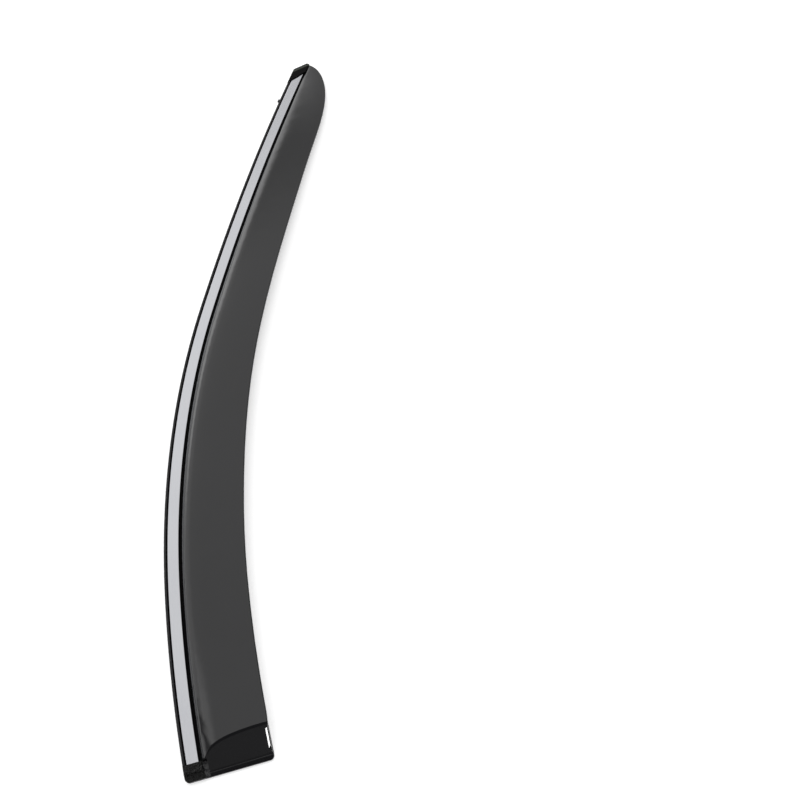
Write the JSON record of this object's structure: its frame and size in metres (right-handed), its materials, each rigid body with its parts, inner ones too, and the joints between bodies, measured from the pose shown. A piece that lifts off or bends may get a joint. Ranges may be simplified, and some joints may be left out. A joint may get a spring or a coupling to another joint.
{
  "type": "window rain deflector",
  "caption": "Long curved smoked-plastic window rain deflector for a front car door: taped flange with a bright trim strip, crowned blade and a closed, sloped rear end.",
  "frame": {"origin": "on the underside of the mounting tape, below the middle of the bright strip, where the strip runs parallel to Y", "axes": "+X from the bright strip to the free edge, +Y along the part to the pointed front tip, +Z from the mounting tape's face up through the outer face"},
  "size_m": [0.1368, 0.8734, 0.0202],
  "materials": {
    "smoked_acrylic": "polished dark smoked acrylic",
    "trim_black": "satin black extrusion",
    "chrome": "bright with a fine brushed grain",
    "cap_black": "fine-textured satin black moulding",
    "foam_tape": "matt closed-cell foam"
  },
  "bodies": {
    "root": {"visor_panel": "smoked_acrylic", "trim_carrier": "trim_black", "chrome_strip": "chrome", "front_tip_cap": "cap_black", "rear_end_cap": "cap_black", "mounting_tape": "foam_tape", "rear_tape": "foam_tape"}
  },
  "joints": []
}
